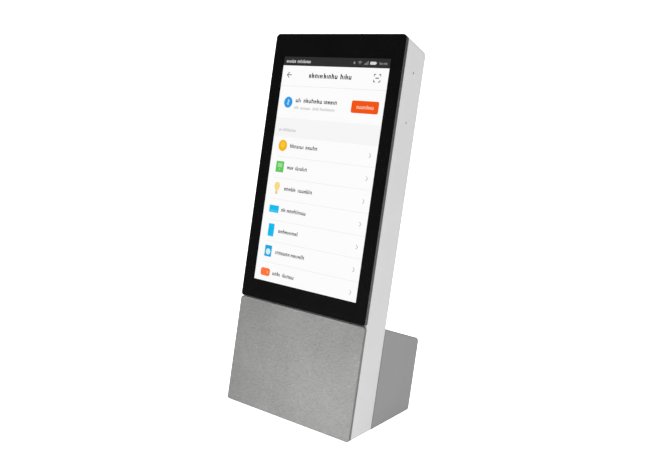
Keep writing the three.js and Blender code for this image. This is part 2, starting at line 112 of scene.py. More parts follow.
def make_camera():
    forward = Vector(
        (
            -math.sin(AZIMUTH) * math.cos(ELEVATION),
            math.cos(AZIMUTH) * math.cos(ELEVATION),
            -math.sin(ELEVATION),
        )
    )
    data = bpy.data.cameras.new("camera")
    data.sensor_width = SENSOR_WIDTH
    data.lens = LENS
    data.clip_start = 0.01
    data.clip_end = 20
    camera = bpy.data.objects.new("camera", data)
    camera.rotation_mode = "QUATERNION"
    camera.location = CAMERA_PLACE + Vector((0, face_y, UNDERSIDE))
    camera.rotation_quaternion = forward.to_track_quat("-Z", "Y")
    bpy.context.scene.collection.objects.link(camera)
    bpy.context.scene.camera = camera


# ---- node materials -----------------------------------------------------------------------
class Nodes:
    """A material's node tree, with short calls for the nodes used here.

    Coordinates are the object's own, in metres, so a texture of scale 1000 repeats each
    millimetre.
    """

    def __init__(self, name):
        self.material = bpy.data.materials.new(name)
        self.material.use_nodes = True
        self.tree = self.material.node_tree
        self.shader = self.tree.nodes["Principled BSDF"]
        self.coordinates = self.tree.nodes.new("ShaderNodeTexCoord").outputs["Object"]

    def set(self, **values):
        for name, value in values.items():
            self.shader.inputs[name.replace("_", " ")].default_value = value

    def link(self, output, name):
        self.tree.links.new(output, self.shader.inputs[name])

    def new(self, kind, **settings):
        node = self.tree.nodes.new(kind)
        for name, value in settings.items():
            setattr(node, name, value)
        return node

    def turned(self, turn=(0, 0, 0), scale=(1, 1, 1)):
        """Object coordinates, turned first and then scaled along the turned axes."""
        mapping = self.new("ShaderNodeMapping")
        self.tree.links.new(self.coordinates, mapping.inputs["Vector"])
        mapping.inputs["Rotation"].default_value = turn
        scaling = self.new("ShaderNodeMapping")
        self.tree.links.new(mapping.outputs["Vector"], scaling.inputs["Vector"])
        scaling.inputs["Scale"].default_value = scale
        return scaling.outputs["Vector"]

    def noise(self, scale, detail=2, roughness=0.5, vector=None):
        node = self.new("ShaderNodeTexNoise")
        self.tree.links.new(vector or self.coordinates, node.inputs["Vector"])
        node.inputs["Scale"].default_value = scale
        node.inputs["Detail"].default_value = detail
        node.inputs["Roughness"].default_value = roughness
        return node.outputs["Fac"]

    def voronoi(self, scale):
        node = self.new("ShaderNodeTexVoronoi")
        self.tree.links.new(self.coordinates, node.inputs["Vector"])
        node.inputs["Scale"].default_value = scale
        return node.outputs["Distance"]

    def wave(self, scale, direction, distortion=0, vector=None):
        node = self.new("ShaderNodeTexWave", bands_direction=direction)
        self.tree.links.new(vector or self.coordinates, node.inputs["Vector"])
        node.inputs["Scale"].default_value = scale
        node.inputs["Distortion"].default_value = distortion
        return node.outputs["Fac"]

    def math(self, operation, a, b):
        node = self.new("ShaderNodeMath", operation=operation)
        for socket, value in zip(node.inputs, (a, b)):
            if isinstance(value, (int, float)):
                socket.default_value = value
            else:
                self.tree.links.new(value, socket)
        return node.outputs[0]

    def span(self, value, low, high, start=0.0, end=1.0):
        """value, from start to end, spread over low to high."""
        node = self.new("ShaderNodeMapRange")
        self.tree.links.new(value, node.inputs["Value"])
        for name, number in (
            ("From Min", start),
            ("From Max", end),
            ("To Min", low),
            ("To Max", high),
        ):
            node.inputs[name].default_value = number
        return node.outputs["Result"]

    def ramp(self, value, *stops):
        """A colour for value, between stops of (value, linear colour)."""
        node = self.new("ShaderNodeValToRGB")
        self.tree.links.new(value, node.inputs["Fac"])
        elements = node.color_ramp.elements
        while len(elements) < len(stops):
            elements.new(0.5)
        for element, (place, colour) in zip(elements, stops):
            element.position = place
            element.color = (*colour, 1)
        return node.outputs["Color"]

    def bump(self, height, distance, strength=1.0):
        node = self.new("ShaderNodeBump")
        self.tree.links.new(height, node.inputs["Height"])
        node.inputs["Distance"].default_value = distance
        node.inputs["Strength"].default_value = strength
        self.link(node.outputs["Normal"], "Normal")


def shade(colour, share):
    return tuple(min(1.0, c * share) for c in colour)


def srgb(red, green, blue):
    """A screen colour, 0 to 255, as linear light."""
    return tuple(
        c / 3294.6 if c < 10.31 else ((c / 255 + 0.055) / 1.055) ** 2.4
        for c in (red, green, blue)
    )


MADE = {}


def made_once(make):
    """Keeps each material, so that pieces with one finish share it."""

    def get(*words):
        key = (make.__name__, *words)
        if key not in MADE:
            MADE[key] = make(*words)
        return MADE[key]

    return get


@made_once
def moulded(name, colour, rough, grain):
    """Satin moulded plastic: a fine spark-eroded grain, faint mottling and flow."""
    n = Nodes(name)
    cloudy = n.noise(38, 3)
    colour_now = n.ramp(cloudy, (0.3, shade(colour, 0.985)), (0.7, shade(colour, 1.015)))
    n.link(colour_now, "Base Color")
    n.link(n.span(n.noise(420, 3), rough - 0.06, rough + 0.06, 0.3, 0.7), "Roughness")
    pits = n.math("ADD", n.noise(3600, 2), n.math("MULTIPLY", n.voronoi(2600), 0.5))
    n.bump(pits, grain * MM, 0.6)
    n.set(IOR=1.49)
    return n.material


def glass_smears(n):
    return n.noise(45, 5, 0.65, n.turned(turn=(0, 0.5, 0), scale=(1, 1, 0.35)))


@made_once
def black_glass():
    """Glass printed black on its rear face: deep, glossy, with the faintest smears."""
    n = Nodes("black_glass")
    n.link(
        n.ramp(n.noise(60, 3), (0.3, srgb(16, 16, 16.5)), (0.7, srgb(18, 18, 18.5))),
        "Base Color",
    )
    n.link(n.span(glass_smears(n), 0.03, 0.09, 0.35, 0.75), "Roughness")
    n.bump(n.noise(14, 1), 0.01 * MM, 0.3)
    n.set(IOR=1.5)
    n.shader.inputs["Specular IOR Level"].default_value = 0.32
    return n.material


@made_once
def glass_edge():
    """The ground edge of the cover glass, which catches light and shows dark grey."""
    n = Nodes("glass_edge")
    ground = n.noise(900, 2)
    n.link(n.ramp(ground, (0.3, srgb(76, 76, 78)), (0.7, srgb(90, 90, 92))), "Base Color")
    n.link(n.span(ground, 0.18, 0.34), "Roughness")
    n.bump(ground, 0.01 * MM, 0.4)
    return n.material


@made_once
def clear_window():
    """The unprinted middle of the cover glass."""
    n = Nodes("clear_window")
    tree = n.tree
    clear = n.new("ShaderNodeBsdfTransparent")
    gloss = n.new("ShaderNodeBsdfGlossy")
    fresnel = n.new("ShaderNodeFresnel")
    fresnel.inputs["IOR"].default_value = 1.33
    mix = n.new("ShaderNodeMixShader")
    smears = n.span(glass_smears(n), 0.02, 0.08, 0.35, 0.75)
    tree.links.new(smears, gloss.inputs["Roughness"])
    tree.links.new(fresnel.outputs[0], mix.inputs[0])
    tree.links.new(clear.outputs[0], mix.inputs[1])
    tree.links.new(gloss.outputs[0], mix.inputs[2])
    tree.links.new(mix.outputs[0], tree.nodes["Material Output"].inputs["Surface"])
    tree.nodes.remove(n.shader)
    return n.material


@made_once
def inner_window():
    """The rear face of the clear part, in optical contact with the picture behind it."""
    n = Nodes("inner_window")
    clear = n.new("ShaderNodeBsdfTransparent")
    clear.inputs["Color"].default_value = (1, 1, 1, 1)
    n.tree.links.new(clear.outputs[0], n.tree.nodes["Material Output"].inputs["Surface"])
    n.tree.nodes.remove(n.shader)
    return n.material


@made_once
def melange_cloth():
    """Acoustic cloth: a fine plain weave of light and dark flecked yarns."""
    n = Nodes("melange_cloth")
    face = n.turned(turn=(LEAN, 0, 0))
    bias = 0.18  # the yarns run a little off the horizontal
    flecks = n.noise(900, 2, 0.6, n.turned(turn=(LEAN, bias, 0), scale=(0.55, 1, 2.4)))
    slubs = n.noise(520, 3, 0.6, n.turned(turn=(LEAN, bias, 0), scale=(0.6, 1, 2.4)))
    patches = n.noise(34, 3, 0.55, face)
    tone = n.math("ADD", n.math("MULTIPLY", flecks, 0.5), n.math("MULTIPLY", slubs, 0.35))
    tone = n.math("ADD", tone, n.math("MULTIPLY", patches, 0.22))
    yarns = n.ramp(
        tone,
        (0.36, (0.155, 0.154, 0.152)),
        (0.5, (0.2, 0.199, 0.196)),
        (0.58, (0.222, 0.221, 0.218)),
        (0.7, (0.272, 0.271, 0.267)),
    )
    n.link(yarns, "Base Color")
    warp = n.wave(520, "X", 0.6, face)
    weft = n.wave(620, "Z", 0.6, face)
    weave = n.math("ADD", n.math("MULTIPLY", warp, weft), n.math("MULTIPLY", flecks, 0.7))
    n.bump(weave, 0.1 * MM, 0.5)
    n.link(n.span(flecks, 0.8, 0.98), "Roughness")
    n.set(Sheen_Weight=0.12, Sheen_Roughness=0.5)
    n.shader.inputs["Specular IOR Level"].default_value = 0.2
    return n.material


@made_once
def soft_rubber(name, level):
    """Matt rubber of a grey level, with paler dust on it."""
    n = Nodes(name)
    dust = n.noise(260, 4, 0.6)
    n.link(n.ramp(dust, (0.35, (level,) * 3), (0.7, (level * 1.7,) * 3)), "Base Color")
    n.link(n.span(dust, 0.7, 0.92), "Roughness")
    n.bump(n.noise(2200, 2), 0.03 * MM, 0.7)
    return n.material


@made_once
def brushed(name, colour, rough, along):
    """Metal with fine lines along one axis."""
    n = Nodes(name)
    scale = {"X": (0.04, 1, 1), "Y": (1, 0.04, 1), "Z": (1, 1, 0.04)}[along]
    lines = n.noise(2400, 3, 0.6, n.turned(scale=scale))
    n.link(n.ramp(lines, (0.3, shade(colour, 0.86)), (0.7, shade(colour, 1.1))), "Base Color")
    n.link(n.span(lines, rough - 0.08, rough + 0.12), "Roughness")
    n.bump(lines, 0.02 * MM, 0.4)
    n.set(Metallic=1.0)
    return n.material


@made_once
def cast_metal(name, colour, rough):
    """Metal with an uneven, slightly pitted plating."""
    n = Nodes(name)
    grain = n.noise(700, 4, 0.6)
    n.link(n.ramp(grain, (0.3, shade(colour, 0.8)), (0.7, shade(colour, 1.15))), "Base Color")
    n.link(n.span(grain, rough - 0.1, rough + 0.15), "Roughness")
    n.bump(grain, 0.06 * MM, 0.6)
    n.set(Metallic=0.9)
    return n.material


@made_once
def circuit_board():
    """Green solder mask over a net of copper traces."""
    n = Nodes("circuit_board")
    traces = n.new("ShaderNodeTexBrick")
    n.tree.links.new(n.turned(turn=(LEAN, 0, 0)), traces.inputs["Vector"])
    for name, number in (("Scale", 320.0), ("Mortar Size", 0.03), ("Brick Width", 1.7)):
        traces.inputs[name].default_value = number
    traces.inputs["Color1"].default_value = (0.010, 0.085, 0.034, 1)
    traces.inputs["Color2"].default_value = (0.014, 0.115, 0.046, 1)
    traces.inputs["Mortar"].default_value = (0.05, 0.2, 0.09, 1)
    n.link(traces.outputs["Color"], "Base Color")
    n.link(n.span(n.noise(500, 2), 0.28, 0.42), "Roughness")
    n.bump(traces.outputs["Fac"], 0.04 * MM, 0.5)
    return n.material


@made_once
def epoxy():
    """The moulded black body of a chip."""
    n = Nodes("epoxy")
    grain = n.noise(1500, 3)
    n.link(n.ramp(grain, (0.3, (0.012, 0.013, 0.014)), (0.7, (0.024, 0.025, 0.027))), "Base Color")
    n.link(n.span(grain, 0.45, 0.62), "Roughness")
    n.bump(grain, 0.02 * MM, 0.6)
    return n.material


@made_once
def nylon():
    """The cream plastic of a connector."""
    n = Nodes("nylon")
    cloudy = n.noise(420, 3)
    n.link(n.ramp(cloudy, (0.3, (0.68, 0.62, 0.5)), (0.7, (0.8, 0.75, 0.63))), "Base Color")
    n.link(n.span(cloudy, 0.4, 0.55), "Roughness")
    n.bump(n.noise(2500, 2), 0.02 * MM, 0.5)
    return n.material


@made_once
def foil_pouch():
    """The battery's crinkled aluminium laminate."""
    n = Nodes("foil_pouch")
    crinkle = n.noise(110, 5, 0.65)
    n.link(n.ramp(crinkle, (0.3, (0.3, 0.32, 0.34)), (0.7, (0.46, 0.48, 0.5))), "Base Color")
    n.link(n.span(crinkle, 0.28, 0.45), "Roughness")
    n.bump(crinkle, 0.2 * MM, 0.6)
    n.set(Metallic=0.85)
    return n.material


@made_once
def pressed_paper():
    """Speaker cone pulp: fibrous and matt."""
    n = Nodes("pressed_paper")
    fibres = n.noise(1300, 4, 0.7, n.turned(scale=(1, 1, 0.3)))
    n.link(n.ramp(fibres, (0.3, (0.014, 0.014, 0.016)), (0.7, (0.036, 0.036, 0.04))), "Base Color")
    n.link(n.span(fibres, 0.75, 0.95), "Roughness")
    n.bump(fibres, 0.08 * MM, 0.7)
    return n.material


@made_once
def open_foam():
    """Dark foam with open cells."""
    n = Nodes("open_foam")
    cells = n.voronoi(1100)
    n.link(n.ramp(cells, (0.1, (0.015, 0.015, 0.016)), (0.7, (0.07, 0.07, 0.074))), "Base Color")
    n.bump(cells, 0.4 * MM, 0.9)
    n.set(Roughness=1.0)
    return n.material


@made_once
def coated_lens():
    """Camera glass with a faint violet coating."""
    n = Nodes("coated_lens")
    rings = n.noise(300, 1)
    n.link(n.ramp(rings, (0.3, (0.003, 0.003, 0.008)), (0.7, (0.008, 0.006, 0.018))), "Base Color")
    n.link(n.span(rings, 0.02, 0.06), "Roughness")
    n.set(Coat_Weight=1.0)
    return n.material


@made_once
def polyimide():
    """Amber film with copper tracks under it."""
    n = Nodes("polyimide")
    tracks = n.wave(260, "X", 0.2)
    n.link(n.ramp(tracks, (0.35, (0.4, 0.13, 0.02)), (0.55, (0.62, 0.27, 0.07))), "Base Color")
    n.link(n.span(tracks, 0.25, 0.4), "Roughness")
    n.bump(tracks, 0.03 * MM, 0.5)
    return n.material


@made_once
def panel_frame():
    """The display's black backlight frame, with a fine satin grain."""
    n = Nodes("panel_frame")
    grain = n.noise(800, 3)
    n.link(n.ramp(grain, (0.3, (0.01, 0.01, 0.01)), (0.7, (0.018, 0.018, 0.019))), "Base Color")
    n.link(n.span(grain, 0.35, 0.55), "Roughness")
    n.bump(grain, 0.02 * MM, 0.5)
    return n.material


@made_once
def lit(name, red, green, blue):
    """A colour of the lit picture, with the slight unevenness of a backlight."""
    n = Nodes(name)
    colour = srgb(red, green, blue)
    glow = n.noise(16, 1)
    n.link(n.ramp(glow, (0.3, shade(colour, 0.992)), (0.7, colour)), "Emission Color")
    n.set(Base_Color=(0.01, 0.01, 0.01, 1), Roughness=0.4, Emission_Strength=1.0)
    n.shader.inputs["Specular IOR Level"].default_value = 0.0
    return n.material


# ---- meshes -------------------------------------------------------------------------------
def publish(bm, name, place, *materials):
    """A mesh object from bm, moved by place, with its materials in order."""
    bmesh.ops.recalc_face_normals(bm, faces=bm.faces)
    bm.transform(place)
    mesh = bpy.data.meshes.new(name)
    bm.to_mesh(mesh)
    bm.free()
    for material in materials:
        mesh.materials.append(material)
    obj = bpy.data.objects.new(name, mesh)
    bpy.context.scene.collection.objects.link(obj)
    return obj


def smooth(obj, degrees=32):
    """Rounded stretches shade smoothly, and flat faces stay flat beside them."""
    mesh = obj.data
    mesh.shade_smooth()
    mesh.set_sharp_from_angle(angle=math.radians(degrees))
    weighted = obj.modifiers.new("weighted_normals", "WEIGHTED_NORMAL")
    weighted.keep_sharp = True
    weighted.weight = 100
    return obj


def rounded_rectangle(x0, x1, z0, z1, radius, steps=10, low=None):
    """Points round the outline, anticlockwise from the bottom right corner.

    The two bottom corners have the radius low where it is given.
    """
    most = 0.4995 * min(x1 - x0, z1 - z0)  # so that no side has zero length
    radius = min(radius, most)
    low = radius if low is None else min(low, most)
    corners = (
        (x1 - low, z0 + low, low),
        (x1 - radius, z1 - radius, radius),
        (x0 + radius, z1 - radius, radius),
        (x0 + low, z0 + low, low),
    )
    points = []
    for corner, (cx, cz, reach) in enumerate(corners):
        for step in range(steps + 1):
            angle = (corner - 1 + step / steps) * math.pi / 2
            points.append((cx + reach * math.cos(angle), cz + reach * math.sin(angle)))
    return points


def rounded_polygon(corners, steps=10):
    """Points round a polygon whose corners are (y, z, radius), each drawn as an arc."""
    points = []
    for k, (y, z, radius) in enumerate(corners):
        corner = Vector((y, z))
        following = corners[(k + 1) % len(corners)]
        ways = [(Vector(n[:2]) - corner).normalized() for n in (corners[k - 1], following)]
        half = ways[0].angle(ways[1]) / 2
        centre = corner + (ways[0] + ways[1]).normalized() * radius / math.sin(half)
        ends = [corner + way * radius / math.tan(half) - centre for way in ways]
        start, end = (math.atan2(e.y, e.x) for e in ends)
        turn = math.remainder(end - start, 2 * math.pi)
        for step in range(steps + 1):
            angle = start + turn * step / steps
            points.append(
                (centre.x + radius * math.cos(angle), centre.y + radius * math.sin(angle))
            )
    return points


def circle(x, z, radius, steps=32):
    """Points round a circle."""
    turn = 2 * math.pi / steps
    return [
        (x + radius * math.cos(k * turn), z + radius * math.sin(k * turn)) for k in range(steps)
    ]


def ring_of(bm, outline, y):
    """New vertices for a front outline at depth y."""
    return [bm.verts.new((x, y, z)) for x, z in outline]


def skin(bm, rings, index=0):
    """Faces between each ring and the next."""
    for one, other in zip(rings, rings[1:]):
        count = len(one)
        for i in range(count):
            j = (i + 1) % count
            bm.faces.new((one[i], one[j], other[j], other[i])).material_index = index


def loft(sections):
    """A solid through (y, outline) sections."""
    bm = bmesh.new()
    rings = [ring_of(bm, outline, y) for y, outline in sections]
    skin(bm, rings)
    bm.faces.new(rings[0])
    bm.faces.new(rings[-1])
    return bm


def arc_steps(radius, steps=6):
    """(along, inset) pairs round a quarter circle, from the side to the end face."""
    for step in range(steps + 1):
        angle = step / steps * math.pi / 2
        yield radius * math.sin(angle), radius * (1 - math.cos(angle))


def carve(obj, cutters, operation="DIFFERENCE"):
    """Cuts the cutters out of obj, or joins them to it, and removes them."""
    for cutter in cutters:
        tool = obj.modifiers.new("cut", "BOOLEAN")
        tool.operation = operation
        tool.solver = "EXACT"
        tool.object = cutter
    bpy.context.view_layer.update()
    graph = bpy.context.evaluated_depsgraph_get()
    mesh = bpy.data.meshes.new_from_object(obj.evaluated_get(graph))
    obj.modifiers.clear()
    old, obj.data = obj.data, mesh
    bpy.data.meshes.remove(old)
    mesh.name = obj.name
    for cutter in cutters:
        bpy.data.objects.remove(cutter)
    return obj


def cutter(outline, y0, y1):
    """A prism with a front outline, from depth y0 to y1."""
    return publish(loft([(y0, outline), (y1, outline)]), "cutter", LEANING)


def loft_across(sections):
    """A solid through (x, outline) sections, each outline in the side view."""
    bm = bmesh.new()
    rings = [[bm.verts.new((x, y, z)) for y, z in outline] for x, outline in sections]
    skin(bm, rings)
    bm.faces.new(rings[0])
    bm.faces.new(rings[-1])
    return bm


def side_hole(y, z, radius, x0, x1):
    """A round cutter across the slab, from x0 to x1."""
    outline = circle(y, z, radius, 24)
    return publish(loft_across([(x0, outline), (x1, outline)]), "cutter", LEANING)


def box_between(low, high):
    bm = bmesh.new()
    bmesh.ops.create_cube(bm, size=1)
    for v in bm.verts:
        v.co = Vector([low[k] if v.co[k] < 0 else high[k] for k in range(3)])
    return bm


def hub_piece(obj, slot, *replaced, body="hub"):
    """Puts obj on a body and hides the CAD nodes that it replaces; slot is not used."""
    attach(obj, body)
    if replaced:
        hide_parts(*replaced)
    return obj


# ---- cover glass --------------------------------------------------------------------------
WINDOW_DEPTH = 0.3 * MM  # the picture lies this far behind the front of the glass
SHARPEST = 0.6 * MM  # smallest corner radius of the slab's outline
PRINTED, GROUND, CLEAR, INNER = range(4)  # the glass's materials


def slab_outline(y, inset, side=None, low=None, high=None, steps=10):
    """The slab's front outline at a depth, taken in by inset, and by side in x.

    The glass ends at low, and the cloth at high, with the seam's corner radius there.
    """
    side = inset if side is None else side
    top_radius = CORNER if high is None else SEAM_CORNER
    low_radius = FOOT_CORNER if low is None else SEAM_CORNER
    return rounded_rectangle(
        -HALF + side,
        HALF - side,
        (table_at(y) if low is None else low) + inset,
        (slab_top_at(y) if high is None else high) - inset,
        max(top_radius - inset, SHARPEST),
        steps,
        low=max(low_radius - inset, SHARPEST),
    )


def make_cover_glass():
    """Black-printed glass with a clear window, a ground edge and a hollow for the picture."""
    ease = 0.25 * MM
    bm = bmesh.new()
    rings = []
    for along, inset in reversed(list(arc_steps(ease, 5))):
        y = ease - along
        rings.append(ring_of(bm, slab_outline(y, inset, low=glass_low.z), y))
    rings.append(ring_of(bm, slab_outline(COVER_DEPTH, 0, low=glass_low.z), COVER_DEPTH))
    skin(bm, rings, GROUND)

    window = rounded_rectangle(-SCREEN_HALF, SCREEN_HALF, SCREEN_LOW, SCREEN_HIGH, 0.1 * MM, 2)
    edge, floor, back = (ring_of(bm, window, y) for y in (0, WINDOW_DEPTH, COVER_DEPTH))
    bm.faces.new(edge).material_index = CLEAR
    bm.faces.new(floor).material_index = INNER
    skin(bm, [floor, back], PRINTED)

    def edges_of(ring):
        count = len(ring)
        pairs = [(ring[i], ring[(i + 1) % count]) for i in range(count)]
        return [bm.edges.get(pair) or bm.edges.new(pair) for pair in pairs]

    for outer, inner in ((rings[0], edge), (rings[-1], back)):
        bmesh.ops.triangle_fill(bm, edges=edges_of(outer) + edges_of(inner), use_beauty=True)
    glass = publish(
        bm, "cover_pane", LEANING, black_glass(), glass_edge(), clear_window(), inner_window()
    )
    hub_piece(smooth(glass), "cover_glass", "cover_glass")


# ---- the lit picture ----------------------------------------------------------------------
class Picture:
    """Flat shapes laid on each other, cut into one sheet of triangles at the end."""

    def __init__(self):
        self.shapes = []
        self.colours = []

    def add(self, outline, colour):
        if colour not in self.colours:
            self.colours.append(colour)
        self.shapes.append((outline, self.colours.index(colour)))

    def bar(self, x0, x1, z0, z1, radius, colour):
        self.add(rounded_rectangle(x0, x1, z0, z1, radius, 5), colour)

    def disc(self, x, z, radius, colour):
        self.add(circle(x, z, radius, 40), colour)

    def stroke(self, points, width, colour):
        """A line of even width along the points, with square ends."""
        left, right = [], []
        for k, (x, z) in enumerate(points):
            before = Vector(points[max(k - 1, 0)])
            after = Vector(points[min(k + 1, len(points) - 1)])
            way = (after - before).normalized() * width / 2
            left.append((x - way.y, z + way.x))
            right.append((x + way.y, z - way.x))
        self.add(right + left[::-1], colour)

    def words(self, x, z, lengths, height, colour, rng, weight=0.15):
        """Greeked text: in place of each letter two stems and a bar between them."""
        stem = height * weight
        at = x
        for length in lengths:
            end = at + length
            while at < end - 0.44 * height:
                wide = height * rng.choice((0.16, 0.4, 0.44, 0.48))
                low = z - 0.36 * height
                high = z + height * rng.choice((0.16, 0.16, 0.16, 0.4))
                self.bar(at, at + stem, low, high, 0.3 * stem, colour)
                if wide > 2 * stem:
                    level = rng.choice((low, z - 0.1 * height, z + 0.04 * height))
                    self.bar(at + stem, at + wide - stem, level, level + stem, 0.05, colour)
                    far_high = z + 0.16 * height
                    self.bar(at + wide - stem, at + wide, low, far_high, 0.3 * stem, colour)
                at += wide + stem * 0.9
            at = end + height * 0.12


# Colours of the picture, as a screen gives them.
INK = (30, 30, 32)
ROW_INK = (62, 62, 64)
GREY_INK = (140, 140, 142)
PALE_INK = (187, 187, 188)
PAGE = (254, 254, 254)
BAND = (248, 248, 249)
RULE = (233, 233, 234)
STATUS = (45, 45, 45)
STATUS_INK = (220, 220, 220)
ORANGE = (243, 84, 8)
BLUE = (38, 156, 236)
YELLOW = (247, 181, 4)
GREEN = (96, 203, 92)
CREAM = (247, 222, 134)
CYAN = (10, 190, 240)
CORAL = (255, 118, 52)
PALE_BLUE = (186, 222, 249)
PALE_ORANGE = (255, 206, 184)
PALE_YELLOW = (255, 201, 52)
PALE_GREEN = (160, 226, 156)
PALE_CYAN = (96, 214, 247)
DEEP_CYAN = (6, 150, 212)
DRUM_BLUE = (10, 170, 226)
DRUM_WHITE = (214, 240, 251)
PALE_CORAL = (255, 160, 112)
BRASS = (228, 200, 112)
HAIR = 0.02  # corner radius of bands and rules, which only keeps them from being square


def draw_status_bar(p, top, half, rng):
    """Small words, a dot, waves, signal bars, a battery and a clock on a dark band."""
    bottom = top - 6.0
    p.bar(-half, half, bottom, top, HAIR, STATUS)
    middle = (top + bottom) / 2
    p.words(-42.6, middle, (9.6, 13), 3.0, STATUS_INK, rng)
    p.disc(16.4, middle, 0.8, GREY_INK)
    angles = [math.pi * (0.25 + 0.5 * step / 8) for step in range(9)]
    for k in range(3):
        radius = 0.5 + 0.8 * k
        wave = [(20.9 + radius * math.cos(a), middle - 1.1 + radius * math.sin(a)) for a in angles]
        p.stroke(wave, 0.42, GREY_INK)
    for k in range(4):
        left = 24.4 + k * 0.9
        p.bar(left, left + 0.6, middle - 1.1, middle - 0.4 + k * 0.55, 0.05, GREY_INK)
    p.bar(29.2, 33.8, middle - 0.95, middle + 0.95, 0.4, STATUS_INK)
    p.bar(33.9, 34.4, middle - 0.45, middle + 0.45, 0.1, STATUS_INK)
    p.words(36.6, middle, (3.0, 3.0), 2.6, GREY_INK, rng)


def draw_header(p, half, rng):
    """A back arrow, a title, a viewfinder mark and a rule."""
    z = 230.1
    p.stroke([(-40.6, z), (-36.4, z)], 0.55, INK)
    p.stroke([(-38.6, z + 1.9), (-40.5, z), (-38.6, z - 1.9)], 0.6, INK)
    p.words(-20.6, z, (12.4, 13.6, 9.6), 4.6, INK, rng, weight=0.17)
    x = 36.3
    for sx in (-1, 1):
        for sz in (-1, 1):
            corner_x, corner_z = x + sx * 2.5, z + sz * 2.4
            ends = (corner_x - sx * 1.3, corner_z), (corner_x, corner_z - sz * 1.3)
            p.stroke([ends[0], (corner_x, corner_z), ends[1]], 0.6, INK)
    p.bar(x - 1.4, x + 1.4, z - 0.3, z + 0.3, 0.1, INK)
    p.bar(-half, half, 222.4, 222.7, HAIR, RULE)


def draw_pairing_row(p, rng):
    """A round mark, two lines of words and an orange button."""
    x, z = -36.1, 211.4
    p.disc(x, z, 3.8, BLUE)
    p.bar(x - 0.45, x + 0.45, z - 2.0, z + 2.0, 0.4, PALE_BLUE)
    p.stroke([(x - 1.1, z - 1.1), (x + 1.1, z + 1.1)], 0.5, PALE_BLUE)
    p.words(-29.4, z + 1.7, (6.6, 17.4, 12.4), 4.0, INK, rng, weight=0.16)
    p.words(-30.0, z - 3.3, (5.4, 10.4, 6.0, 13.2), 2.9, PALE_INK, rng, weight=0.13)
    p.bar(18.9, 40.8, 207.3, 215.3, 1.2, ORANGE)
    p.words(23.2, 211.3, (13.8,), 3.4, PALE_ORANGE, rng, weight=0.13)


def draw_section(p, half, rng):
    """A pale band with a heading."""
    p.bar(-half, half, 187.6, 200.6, HAIR, BAND)
    p.words(-41.2, 192.6, (3.8, 11.4), 2.8, PALE_INK, rng, weight=0.13)


def draw_rows(p, half, rng):
    """Seven list rows: an icon, words, an arrow head and a thin rule under each."""
    pitch, first = 14.6, 181.7
    x = -35.6
    words = (
        (13.6, 10.4),
        (7.0, 10.4),
        (12.0, 13.0),
        (4.8, 18.0),
        (18.8,),
        (13.8, 13.2),
        (8.6, 10.2),
    )
    rows = [first - k * pitch for k in range(len(words))]
    for z, lengths in zip(rows, words):
        p.words(-28.8, z + 0.2, lengths, 3.7, ROW_INK, rng)
        p.stroke([(38.8, z + 0.9), (40.1, z - 0.5), (38.8, z - 1.9)], 0.42, GREY_INK)
    for z in rows[:-1]:
        p.bar(-39.5, half, z - pitch / 2 - 0.5, z - pitch / 2 - 0.24, HAIR, RULE)

    outlet, switch, bulb, cooler, fridge, washer, heater = rows
    p.disc(x, outlet, 3.9, YELLOW)
    p.disc(x, outlet + 0.4, 2.1, PALE_YELLOW)
    p.bar(x - 3.6, x + 3.6, switch - 3.8, switch + 3.8, 0.6, GREEN)
    p.bar(x - 2.0, x + 2.0, switch - 0.4, switch + 2.4, 0.5, PALE_GREEN)
    p.bar(x - 0.7, x + 0.7, switch - 2.2, switch - 1.4, 0.3, PALE_GREEN)
    draw_bulb(p, x, bulb)
    p.bar(x - 4.4, x + 4.4, cooler - 2.5, cooler + 2.5, 0.4, CYAN)
    p.bar(x - 3.4, x + 3.4, cooler - 1.5, cooler - 1.1, 0.15, PALE_CYAN)
    p.bar(x - 2.7, x + 2.7, fridge - 4.4, fridge + 4.4, 0.5, CYAN)
    p.bar(x - 2.7, x + 2.7, fridge + 1.0, fridge + 1.3, 0.05, DEEP_CYAN)
    p.bar(x - 1.9, x - 1.3, fridge - 1.4, fridge + 0.2, 0.2, DEEP_CYAN)
    p.bar(x - 3.2, x + 3.2, washer - 3.9, washer + 3.9, 0.5, DRUM_BLUE)
    p.disc(x, washer - 0.5, 2.1, DRUM_WHITE)
    p.bar(x - 4.3, x + 4.3, heater - 2.7, heater + 2.7, 1.7, CORAL)
    p.disc(x + 2.0, heater, 0.9, PALE_CORAL)


def draw_bulb(p, x, z):
    """A round bulb that narrows to a brass cap."""
    glass = [
        (x + 2.6 * math.cos(a), z + 1.4 + 2.6 * math.sin(a))
        for a in (math.radians(-35 + 250 * s / 24) for s in range(25))
    ]
    p.add(glass + [(x - 1.1, z - 2.1), (x + 1.1, z - 2.1)], CREAM)
    p.bar(x - 0.95, x + 0.95, z - 4.2, z - 2.3, 0.3, BRASS)


def inside(point, outline):
    """Whether a point lies in an outline, by counting the edges to its right."""
    x, z = point
    found = False
    for (x0, z0), (x1, z1) in zip(outline, outline[1:] + outline[:1]):
        if (z0 > z) != (z1 > z) and x < (x1 - x0) * (z - z0) / (z1 - z0) + x0:
            found = not found
    return found


PICTURE_GAP = 0.04 * MM  # between the window's rear face and the picture
PICTURE_THICK = 0.5 * MM


